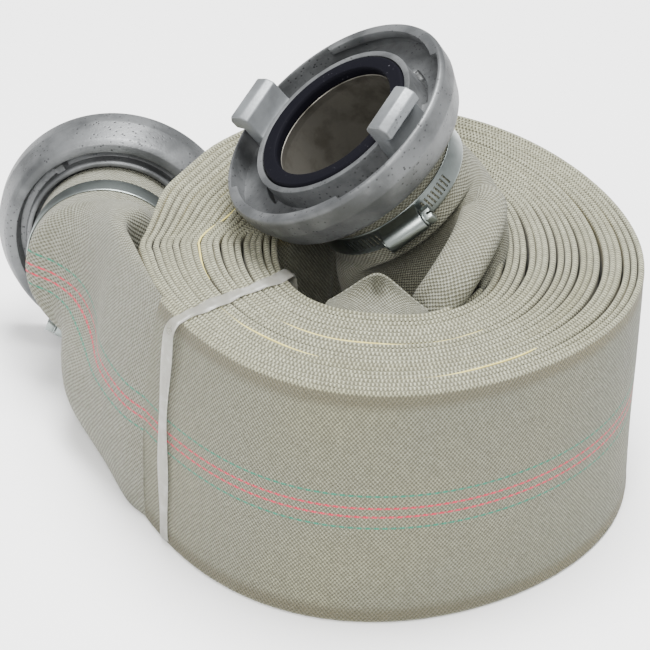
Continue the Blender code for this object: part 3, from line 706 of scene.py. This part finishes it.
def make_coil():
    """The wound hose, and where each of its ends leaves it: place, run, outward and length."""
    turn, angle, radius = coil_path()
    share = turn / TURNS
    line = np.stack([radius * np.cos(angle), radius * np.sin(angle)], -1)
    length = run_length(line)
    run = unit(np.gradient(line, axis=0))
    outward = np.stack([-run[:, 1], run[:, 0]], -1)
    heights, offsets, distance = coil_section()
    lift = heights[None, :] / (LAY_FLAT / 2)
    slack = bell(angle, *SLACK_SIDE)
    lean_top = TOP_LEAN * (1 - 0.8 * bell(angle, *SWELL_SIDE)) * share ** 1.5
    lean_top += SLACK_LEAN * slack * share ** 3
    lean_low = FOOT_LEAN * share - FOOT_SPREAD * (1 - slack) * share ** 3
    lean = -np.where(lift > 0, lean_top[:, None], lean_low[:, None]) * lift ** 2
    lean += (FLARE_REACH * flare(angle) * share ** 2)[:, None] * np.maximum(lift, 0.0) ** 4
    lean += 0.0004 * wander(turn, 7.0, (1.1, 2.3, 4.1))[:, None] * np.sin(lift * 2.2)
    reach = offsets[None, :] + lean
    spot = ROLL_AXIS[None, None, :2] + line[:, None, :] + outward[:, None, :] * reach[:, :, None]
    height = 1 - 0.0045 * (0.5 + 0.5 * wander(turn, 5.0))
    base = 0.0002 + 0.0003 * (0.5 + 0.5 * wander(turn, 3.0, (0.9, 1.9, 2.7)))
    rise = base[:, None] + height[:, None] * (LAY_FLAT / 2 + heights[None, :])
    grid = np.concatenate([spot, rise[:, :, None]], -1)
    mesh = lofted("hose_coil", [grid], caps=((0, 0), (0, -1)), along=[length], around=[distance])
    coil = new_object("hose_coil", mesh, "woven_jacket")
    finish_piece(coil, "root", ("hose_roll",), 75.0)
    ends = {
        "inner": (line[0], -run[0], outward[0], 0.0),
        "outer": (line[-1], run[-1], outward[-1], length[-1]),
        "outer_leans": (lean_top[-1], lean_low[-1]),
    }
    return coil, ends, length[-1]


# ------------------------------------------------------------------- hose ends
def blend(values, share):
    """Catmull-Rom between the second and third of four values."""
    first, second, third, fourth = values
    return 0.5 * (2 * second + (third - first) * share
                  + (2 * first - 5 * second + 4 * third - fourth) * share ** 2
                  + (3 * second - first - 3 * third + fourth) * share ** 3)


def smooth_run(stations, steps, straight=0):
    """Smooth row of values through stations; the last spans, as many as straight, are straight."""
    last = len(stations) - 1
    fine = []
    for index in range(last):
        around = [stations[max(0, min(last, index + step))] for step in (-1, 0, 1, 2)]
        for share in np.arange(steps) / steps:
            if index >= last - straight:
                fine.append(around[1] * (1 - share) + around[2] * share)
            else:
                fine.append(blend(around, share))
    return np.array(fine + [stations[-1]])


def section_outline(high, thick, power, belly, lean, lobe, bead):
    """Evenly spaced points round one section, from the middle of the striped face upwards."""
    angle = np.linspace(0.0, TAU, 1441)
    reach = thick * np.sign(np.cos(angle)) * np.abs(np.cos(angle)) ** (2 / power)
    rise = high * np.sign(np.sin(angle)) * np.abs(np.sin(angle)) ** (2 / power)
    if bead > 0:
        puff = np.sqrt(np.maximum(bead ** 2 - (rise - high + bead) ** 2, 0.0))
        reach = np.sign(np.cos(angle)) * (np.abs(reach) ** 3 + puff ** 3) ** (1 / 3)
    level = rise / high
    facing = smooth(reach / thick, -0.8, 0.8)
    reach = reach + belly * (1 - level ** 2) - lean * level
    reach += lobe * (0.25 + 0.75 * facing) * np.sin(math.pi * np.clip(-level, 0.0, 1.0))
    step = run_length(np.stack([reach, rise], -1))
    even = np.linspace(0.0, step[-1], NECK_POINTS + 1)[:-1]
    return np.interp(even, step, reach), np.interp(even, step, rise)


def neck_sections(side, ends):
    """Smooth run of sections: centre, half height, half thickness, and so on as in NECKS."""
    seat = coupling_frame(side)
    facing = np.array(seat.to_3x3().col[2])
    face = np.array(seat.translation) - ROLL_AXIS
    spot, run, outward, _ = ends[side]
    belly, lean = 0.0, 0.0
    if side == "outer":
        top, low = ends["outer_leans"]
        belly, lean = (top + low) / 2, (top - low) / 2
    start = spot + run * 0.0001 - outward * belly
    stations = [np.array((*start, LAY_FLAT / 2, LAY_FLAT / 2, STRIP / 2, 6.0, 0.0,
                          belly, lean, 0.0, 0.0))]
    stations += [np.array((*centre, *rest)) for centre, *rest in NECKS[side]]
    for depth in (BARREL_END, (BARREL_END + HOSE_END) / 2, HOSE_END):
        stations.append(np.array((*(face - facing * depth), JACKET_OUTER, JACKET_OUTER, 2.0, 1.0,
                                  0.0, 0.0, 0.0, 0.0)))
    return smooth_run(stations, NECK_SUBSTEPS, straight=2)


def make_neck(side, ends):
    """One hose end, opening from flat to round, with a wall and an open inside."""
    sections = neck_sections(side, ends)
    seat = coupling_frame(side)
    run = Vector((*ends[side][1], 0.0))
    vertical = Vector((0.0, 0.0, 1.0))
    upright = Matrix((vertical.cross(run), vertical, run)).transposed().to_quaternion()
    square_on = seat.to_quaternion()
    outer_sign = 1.0 if side == "outer" else -1.0
    centres = sections[:, :3] + ROLL_AXIS
    travel = run_length(centres)
    skins = {0.0: [], WALL: []}
    for section, centre in zip(sections, centres):
        turn = np.array(upright.slerp(square_on, float(section[6])).to_matrix())
        high, thick, power, _, belly, lean, lobe, bead = section[3:]
        for shrink, rings in skins.items():
            wall = min(shrink, 0.8 * thick)
            reach, rise = section_outline(high - wall, thick - wall, max(power, 2.0),
                                          belly, lean, lobe, max(bead - wall, 0.0))
            local = np.stack([outer_sign * reach, rise, np.zeros_like(rise)], -1)
            rings.append(centre + local @ turn.T)
    outside, inside = np.array(skins[0.0]), np.array(skins[WALL])
    start = ends[side][3]
    along = start + travel if side == "outer" else start - travel
    around = np.arange(NECK_POINTS) * GIRTH / NECK_POINTS
    mesh = lofted("neck_" + side, [outside, inside], caps=((0, 0, 1, 0), (0, -1, 1, -1)),
                  along=[along, along], around=[around, around])
    neck = new_object("neck_" + side, mesh, "woven_jacket_open")
    return finish_piece(neck, "root", ("hose_neck_" + side,), 60.0)


def sagging(start, end, steps, sag, drop):
    """Points between two (r, z) places, pulled in by sag and down by drop in the middle."""
    start, end = np.array(start), np.array(end)
    return [start + (end - start) * step - np.array((sag, drop)) * math.sin(math.pi * step)
            for step in steps]


def loose_fold(name, grid, along, first, angle):
    """Closed fold of jacket that belongs to the inner hose end; its map starts at first."""
    around = first + run_length(grid[len(grid) // 2])
    mesh = lofted(name, [grid + ROLL_AXIS], caps=((0, 0), (0, -1)), along=[along], around=[around])
    fold = new_object("inner_" + name, mesh, "woven_jacket_open")
    return finish_piece(fold, "root", (), angle)


def make_pleat():
    """Innermost turn's top edge puffed up into a tent at the front of the hollow."""
    share = np.linspace(-1.0, 1.0, 61)
    angle = PLEAT_ANGLE + PLEAT_HALF * share
    base = inner_outline(angle) - 0.0004
    peak = np.clip(1 - np.abs(share), 0.0, 1.0)
    peak = peak * (1 - 0.25 * peak ** 3) / 0.75
    rings = []
    for turn, radius, tall, off in zip(angle, base, peak, share):
        crest, top = radius - 0.0022 - PLEAT_LEAN * tall, LAY_FLAT + 0.0002 + PLEAT_RISE * tall
        dent = 0.0034 * tall ** 2 + 0.0038 * math.exp(-(off / 0.13) ** 2)
        back = (crest - 0.0018, top - 0.0012)
        foot = (radius - 0.0024 - 0.0010 * tall, LAY_FLAT - 0.0310)
        line = [(radius + 0.0010, LAY_FLAT - 0.0040), (radius, LAY_FLAT - 0.0004)]
        line += sagging((radius, LAY_FLAT), (crest, top), (0.25, 0.5, 0.75), dent, 0.6 * dent)
        line += [(crest + 0.0006, top - 0.0004), (crest - 0.0008, top), back]
        line += sagging(back, foot, (0.25, 0.5, 0.75, 1.0), 0.0020 * tall, 0.0)
        rings.append([(r * math.cos(turn), r * math.sin(turn), z) for r, z in line])
    grid = np.array(rings)
    return loose_fold("pleat", grid, run_length(grid[:, 0]), 0.012, 50.0)


def make_ridge():
    """Broad rolled fold that runs from the front of the hollow up to the inner clamp."""
    line = smooth_run([np.array(knot) for knot in RIDGE_PATH], 10)
    tangent = unit(np.gradient(line, axis=0))
    wide = unit(np.cross(tangent, np.array(RIDGE_FACING)))
    proud = np.cross(wide, tangent)
    share = np.linspace(0.0, 1.0, len(line))
    swell = smooth(share, -0.25, 0.15) * (1 - 0.45 * smooth(share, 0.70, 1.0))
    turn = TAU * np.arange(44) / 44 - math.pi / 2
    crown = np.sign(np.sin(turn)) * np.abs(np.sin(turn)) ** 0.8
    sideways = np.sign(np.cos(turn)) * np.abs(np.cos(turn)) ** 0.8
    groove_shade_and_ochre = 0.0016 * np.exp(-((sideways + 0.25) / 0.35) ** 2) * (crown > 0)
    across = RIDGE_HALF_WIDTH * swell[:, None] * sideways
    height = RIDGE_HALF_DEPTH * swell[:, None] * crown - groove_shade_and_ochre
    grid = line[:, None] + wide[:, None] * across[:, :, None] + proud[:, None] * height[:, :, None]
    return loose_fold("ridge", grid, run_length(line), 0.040, 60.0)


def make_yarns():
    """Loose ends of yarn that lie in a few of the grooves on top of the roll."""
    turn, angle, radius = coil_path()
    spots = TAU * np.arange(7) / 7
    for index, (first, span) in enumerate(YARNS):
        start = round(first * COIL_STEPS)
        steps = np.arange(start, start + round(span * COIL_STEPS))
        middle = (radius[steps] + radius[steps + COIL_STEPS]) / 2
        middle += 0.0003 * np.sin(steps * 0.9 + index) - TOP_LEAN * (turn[steps] / TURNS) ** 1.5
        rise = LAY_FLAT - 0.0009 + 0.0004 * np.sin(steps * 0.37 + index * 2)
        outward = np.stack([np.cos(angle[steps]), np.sin(angle[steps]), 0 * rise], -1)
        line = ROLL_AXIS + outward * middle[:, None]
        line[:, 2] += rise
        thick = 0.00055 * (1 - 0.5 * np.abs(np.linspace(-1, 1, len(steps))) ** 6)
        grid = line[:, None] + thick[:, None, None] * (
            np.cos(spots)[None, :, None] * outward[:, None]
            + np.sin(spots)[None, :, None] * np.array((0.0, 0.0, 1.0)))
        mesh = lofted("yarn", [grid], caps=((0, 0), (0, -1)))
        yarn = new_object(f"loose_yarn_{index + 1}", mesh, "loose_yarn")
        finish_piece(yarn, "root", (), 60.0)


# -------------------------------------------------------------------- coupling
def lug_ring(side):
    """Cast ring with a hooked rim, annular channel, thin collar, and ribbed hub behind."""
    spin = coupling_frame(side) @ Matrix.Rotation(SPIN[side], 4, "Z")

    def profile_at(angle):
        nearest = abs(math.remainder(angle, math.pi))
        entry = 1 - float(smooth(nearest, ENTRY_HALF - 0.004, ENTRY_HALF + 0.022))
        lip = LIP_INNER + (WALL_INNER - LIP_INNER) * entry
        lip_base = -LIP_DEPTH - 0.0012 * float(smooth(nearest, ENTRY_HALF, ENTRY_HALF + 0.25))
        pocket = float(smooth(nearest, 0.52, 0.56) * (1 - smooth(nearest, 1.12, 1.18)))
        rib = abs(math.remainder(angle - math.pi / 4, math.pi / 2))
        floor = -RECESS_FLOOR - 0.0042 * (1 - float(smooth(rib, 0.045, 0.085)))
        points = [
            (RIM_RADIUS - 0.0012, 0.0), (RIM_RADIUS, -0.0022), (RIM_RADIUS - 0.0006, -0.0110),
            (RIM_RADIUS - 0.0052, -0.0225), (RIM_RADIUS - 0.0074, -RING_DEPTH),
            (RECESS_OUTER, -RING_DEPTH), (RECESS_OUTER - 0.0012, floor),
            (HUB_OUTER, floor), (HUB_OUTER, -RING_DEPTH + 0.0012), (HUB_OUTER - 0.0008, -RING_DEPTH),
            (HUB_BORE, -RING_DEPTH),
            (HUB_BORE, -SHOULDER_BOTTOM), (BARREL_OUTER + GAP, -SHOULDER_BOTTOM),
            (BARREL_OUTER + GAP, -HEAD_BOTTOM - GAP), (COLLAR_INNER, -HEAD_BOTTOM - GAP),
            (COLLAR_INNER, 0.0), (COLLAR_OUTER, 0.0), (COLLAR_OUTER, -CHANNEL_FLOOR - 0.0045 * pocket),
            (COLLAR_OUTER + 0.0022, -CHANNEL_FLOOR - 0.0045 * pocket),
            (COLLAR_OUTER + 0.0026, -CHANNEL_FLOOR),
            (WALL_INNER, -CHANNEL_FLOOR), (WALL_INNER, lip_base), (lip, lip_base + 0.0004), (lip, 0.0),
        ]
        return filleted(points, 0.0007, 2)

    ring = turned("lug_ring_" + side + "_cast", profile_at, 360, "cast_aluminium", spin)
    lugs = new_object("lugs_" + side, joined_mesh("lugs", [lug(0.0), lug(math.pi)]),
                      "worn_aluminium", spin)
    finish_piece(lugs, "lug_ring_" + side, angle=35.0)
    return finish_piece(ring, "lug_ring_" + side, ("lug_ring_" + side,), 35.0)


def lug(centre):
    """Hooked lug: a stem on the collar, and a head with a sloping roof that reaches outwards."""
    side_view = [
        (COLLAR_OUTER - 0.0010, -CHANNEL_FLOOR - 0.0010), (0.0525, -CHANNEL_FLOOR - 0.0010),
        (0.0525, 0.0042), (0.0575, 0.0052), (0.0580, 0.0100), (0.0548, 0.0135),
        (0.0480, 0.0138), (COLLAR_OUTER + 0.0004, 0.0112), (COLLAR_OUTER + 0.0002, 0.0),
        (COLLAR_OUTER - 0.0010, -0.0020),
    ]
    width = 0.0580 * math.sin(LUG_HALF)
    stand = Matrix.Rotation(centre, 4, "Z") @ Matrix.Rotation(math.pi / 2, 4, "X")
    mesh = prism("lug", side_view, -width, width, stand)
    return bevelled(mesh, 0.0009, 3, 25.0)


def tail(side):
    """Turned tail: head under the seal, and a ribbed barrel inside the hose."""
    points = [
        (COLLAR_INNER - GAP, -HEAD_TOP), (COLLAR_INNER - GAP, -HEAD_BOTTOM),
        (BARREL_OUTER, -HEAD_BOTTOM), (BARREL_OUTER, -SHOULDER_BOTTOM - GAP),
        (BARREL_OUTER - 0.0010, -SHOULDER_BOTTOM - GAP),
        (BARREL_OUTER - 0.0010, -SHOULDER_BOTTOM - 0.0024), (BARREL_OUTER, -0.0190),
    ]
    for barb in range(5):
        top = -0.0240 - barb * 0.0064
        points += [(BARREL_OUTER, top), (BARREL_OUTER - 0.0007, top - 0.0008),
                   (BARREL_OUTER, top - 0.0056)]
    points += [(BARREL_OUTER - 0.0010, -BARREL_END), (BARREL_BORE, -BARREL_END),
               (BARREL_BORE, -HEAD_BOTTOM), (SEAL_BORE + 0.0005, -HEAD_TOP)]
    profile = filleted(points, 0.0003, 1)
    piece = turned("hose_tail_" + side + "_turned", lambda angle: profile, 180,
                   "turned_aluminium", coupling_frame(side))
    return finish_piece(piece, "root", ("hose_tail_" + side,), 35.0)


def seal(side):
    """Flat lip seal that fills the mouth between collar and bore."""
    points = [
        (COLLAR_INNER - GAP, -0.0006), (COLLAR_INNER - GAP, -HEAD_TOP + GAP),
        (SEAL_BORE + 0.0005, -HEAD_TOP + GAP), (SEAL_BORE, -0.0010), (SEAL_BORE + 0.0006, 0.0006),
        (COLLAR_INNER - 0.0012, 0.0008),
    ]
    profile = filleted(points, 0.0005, 3)
    piece = turned("lip_seal_" + side, lambda angle: profile, 180,
                   "black_rubber", coupling_frame(side))
    return finish_piece(piece, "root", ("seal_" + side,), 50.0)


# ------------------------------------------------------------ worm-drive clamp
def clamp_frame(side):
    turn = Matrix.Rotation(CLAMP_ANGLE[side], 4, "Z")
    return coupling_frame(side) @ Matrix.Translation((0.0, 0.0, -BAND_CENTRE)) @ turn


def clamp_band(side):
    """Steel band with pressed slots each side of the housing and slightly rolled edges."""
    half = BAND_WIDTH / 2
    outer = BAND_INNER + BAND_THICKNESS
    profile = filleted([(outer, half - 0.0006), (outer, -half + 0.0006),
                        (outer - 0.0003, -half), (BAND_INNER, -half), (BAND_INNER, half),
                        (outer - 0.0003, half)], 0.0003, 2)
    band = turned("clamp_band_" + side + "_slotted", lambda angle: profile, 240,
                  "zinc_plated_steel", clamp_frame(side))
    slots = []
    for direction in (-1, 1):
        for index in range(8):
            turn = Matrix.Rotation(direction * math.radians(19.0 + 3.4 * index), 4, "Z")
            lean = Matrix.Rotation(math.radians(8.0), 4, "X")
            spot = turn @ Matrix.Translation((outer, 0.0, 0.0)) @ lean
            slots.append(prism("slot", rectangle(0.002, 0.00055), -0.0033, 0.0033, spot))
    cut(band, joined_mesh("slots", slots))
    return finish_piece(band, "root", ("clamp_band_" + side,), 35.0)


def clamp_housing(side):
    """Rolled barrel over the worm with a flat saddle plate, open at both ends."""
    radius = HOUSING_RADIUS
    outline = [(radius * math.cos(turn), radius * math.sin(turn))
               for turn in np.linspace(math.radians(-100), math.radians(100), 26)]
    outline += [(-radius - 0.0004, 0.0062), (-radius - 0.0004, -0.0062)]
    lay = Matrix.Translation((WORM_CENTRE, 0.0, 0.0)) @ Matrix.Rotation(math.pi / 2, 4, "X")
    body = bevelled(prism("housing", outline, -HOUSING_HALF, HOUSING_HALF, lay), 0.0005, 3, 40.0)
    housing = new_object("clamp_housing_" + side + "_rolled", body, "zinc_plated_steel",
                         clamp_frame(side))
    cut(housing, prism("bore", circle(WORM_RADIUS + GAP, 32), -0.02, 0.02, lay))
    band = circle(BAND_INNER + BAND_THICKNESS + GAP, 180)
    cut(housing, prism("tunnel", band, -0.02, 0.02))
    return finish_piece(housing, "root", ("clamp_housing_" + side,), 35.0)


def clamp_screw(side):
    """Threaded worm with a flanged, slotted hexagon head."""
    joint = JOINTS["worm_" + side]
    axis = Vector(joint["axis"]).normalized()
    outward = Vector(joint["pos_m"]) - coupling_frame(side).translation
    outward = (outward - axis * outward.dot(axis)).normalized()
    turn = Matrix((outward, axis.cross(outward), axis)).transposed().to_4x4()
    stand = Matrix.Translation(Vector(joint["pos_m"])) @ turn
    thread, steps = 0.0006, 32
    rings = []
    for step in range(int((2 * HOUSING_HALF + 0.0013) / WORM_PITCH * steps)):
        height = -HOUSING_HALF - 0.0010 + WORM_PITCH * step / steps
        ring = []
        for angle in TAU * np.arange(steps) / steps:
            crest = math.cos(TAU * height / WORM_PITCH - angle)
            reach = WORM_RADIUS - thread + thread * crest
            ring.append((reach * math.cos(angle), reach * math.sin(angle), height))
        rings.append(ring)
    shank = lofted("worm", [np.array(rings)], caps=((0, 0), (0, -1)))
    base = HOUSING_HALF + GAP
    collar = prism("collar", circle(HEAD_RADIUS - 0.0001, 48), base, base + 0.0010)
    hexagon = prism("hexagon", circle(HEAD_RADIUS, 6), base + 0.0008, base + 0.0050)
    piece = new_object("clamp_screw_" + side + "_worm", bevelled(hexagon, 0.0005, 3),
                       "zinc_plated_steel", stand)
    cut(piece, prism("slot", rectangle(0.0006, 0.006), base + 0.0026, base + 0.008))
    piece.data = joined_mesh("screw", [shank, bevelled(collar, 0.0003, 2), piece.data])
    piece.data.materials.append(MATERIALS["zinc_plated_steel"])
    return finish_piece(piece, "clamp_screw_" + side,
                        ("clamp_screw_" + side,), 35.0)


# ------------------------------------------------------------------- tie strap
def make_strap():
    """Thin film tied round the section of the roll at one place."""
    toward = np.array((math.cos(STRAP_ANGLE), math.sin(STRAP_ANGLE), 0.0))
    across = np.array((-toward[1], toward[0], 0.0))
    node = frame["nodes"]["tie_strap"]
    reach = [float((np.array(vertex.co) - ROLL_AXIS) @ toward) for vertex in node.data.vertices]
    near, far = min(reach), max(reach)
    top = LAY_FLAT + 0.0006
    stops = [(near + (far - 0.004 - near) * share, top + 0.0004 * math.sin(share * 31.0))
             for share in np.linspace(0, 1, 60)]
    for share in np.linspace(0, 1, 60)[1:]:
        bulge = 0.0046 * math.sin(math.pi * min(1.0, share * 0.5 + 0.22)) ** 1.2
        stops.append((far - 0.0042 + bulge, top - 0.0012 - (top - 0.0020) * share))
    stops += [(far - 0.003 - (far - 0.003 - near) * share, 0.0004)
              for share in np.linspace(0, 1, 24)[1:]]
    stops += [(near - 0.0003, 0.0008 + (top - 0.0008) * share)
              for share in np.linspace(0, 1, 24)[1:-1]]
    line = np.array(stops)
    for _ in range(3):
        line = (np.roll(line, 1, 0) + 2 * line + np.roll(line, -1, 0)) / 4
    tangent = unit(np.roll(line, -1, 0) - np.roll(line, 1, 0))
    normal = np.stack([-tangent[:, 1], tangent[:, 0]], -1)
    normal *= np.sign(((line - line.mean(0)) * normal).sum(1))[:, None]
    section = (             # share of the half width, height above the line
        (-1, 0.0), (-0.9, 0.0004), (-0.4, 0.0007), (0, 0.00045), (0.5, 0.0008),
        (0.9, 0.0003), (1, 0.0), (0.9, -0.0001), (0, 0.0), (-0.9, -0.0001),
    )
    rings = []
    for index, (spot, side) in enumerate(zip(line, normal)):
        half = STRAP_HALF_WIDTH + 0.0006 * math.sin(index * 0.21)
        sway = 0.0005 * math.sin(index * 0.13)
        ring = []
        for place, lift in section:
            point = spot + side * (lift + 0.0001)
            ring.append(ROLL_AXIS + toward * point[0] + across * (half * place + sway)
                        + np.array((0.0, 0.0, point[1])))
        rings.append(ring)
    mesh = lofted("strap_film", [np.array(rings)], caps=((0, -1, 0, 0),))
    strap = new_object("strap_film", mesh, "clear_plastic")
    return finish_piece(strap, "root", ("tie_strap",), 60.0)


# ------------------------------------------------------------- camera and light
def make_camera():
    """Camera up in front, aimed at the roll's middle, then panned, tilted and rolled a little."""
    target = Vector(ROLL_AXIS) + Vector((0.0, 0.0, 0.0625))
    distance = 1.471
    elevation = math.radians(34.1)
    pan, tilt, roll = (math.radians(value) for value in (-0.96, 0.34, 2.82))
    away = Vector((0.0, -math.cos(elevation), math.sin(elevation)))
    forward, right = -away, Vector((1.0, 0.0, 0.0))
    up = right.cross(forward)
    aim = (forward + math.tan(pan) * right + math.tan(tilt) * up).normalized()
    right = aim.cross(Vector((0.0, 0.0, 1.0))).normalized()
    up = right.cross(aim)
    turned_right = math.cos(roll) * right + math.sin(roll) * up
    turned_up = math.cos(roll) * up - math.sin(roll) * right
    data = bpy.data.cameras.new("camera")
    data.sensor_width = 36.0
    data.lens = 166.15
    camera = linked("camera", data)
    axes = Matrix((turned_right, turned_up, -aim)).transposed().to_4x4()
    camera.matrix_world = Matrix.Translation(target + away * distance) @ axes
    bpy.context.scene.camera = camera


def make_stage():
    shape = bmesh.new()
    bmesh.ops.create_grid(shape, x_segments=1, y_segments=1, size=6.0)
    mesh = bpy.data.meshes.new("floor")
    shape.to_mesh(mesh)
    shape.free()
    floor = new_object("floor", mesh, "floor")
    world = bpy.data.worlds.new("studio")
    bpy.context.scene.world = world
    world.use_nodes = True
    background = world.node_tree.nodes["Background"]
    background.inputs["Color"].default_value = (0.97, 0.98, 1.0, 1.0)
    background.inputs["Strength"].default_value = 0.62
    lights = (
        # name, place, size, power, colour
        ("key", (-0.3, -1.7, 1.6), 1.0, 66.0, (1.0, 0.99, 0.97)),
        ("fill", (1.6, -1.0, 1.1), 1.4, 4.0, (0.96, 0.98, 1.0)),
        ("top", (0.1, 0.3, 2.2), 1.2, 165.0, (1.0, 1.0, 1.0)),
    )
    for name, spot, size, power, colour in lights:
        data = bpy.data.lights.new(name, "AREA")
        data.shape = "SQUARE"
        data.size = size
        data.energy = power
        data.color = colour
        lamp = linked(name, data)
        lamp.location = spot
        aim = Vector((0.0, 0.0, 0.08)) - Vector(spot)
        lamp.rotation_euler = aim.to_track_quat("-Z", "Y").to_euler()


# -------------------------------------------------------------------- assembly
def dress_hidden_nodes():
    """Pieces that stay as modelled, inside the clamped joint, get their finished materials."""
    for side in SIDES:
        for node, material in (("snap_ring_", "spring_steel"), ("hose_lining_", "rubber_lining")):
            piece = frame["nodes"][node + side]
            piece.data.materials.clear()
            piece.data.materials.append(MATERIALS[material])


make_camera()
make_stage()
dress_hidden_nodes()
coil, coil_ends, coil_length = make_coil()
make_strap()
make_pleat()
make_ridge()
make_yarns()
for name in SIDES:
    make_neck(name, coil_ends)
    lug_ring(name)
    tail(name)
    seal(name)
    clamp_band(name)
    clamp_housing(name)
    clamp_screw(name)
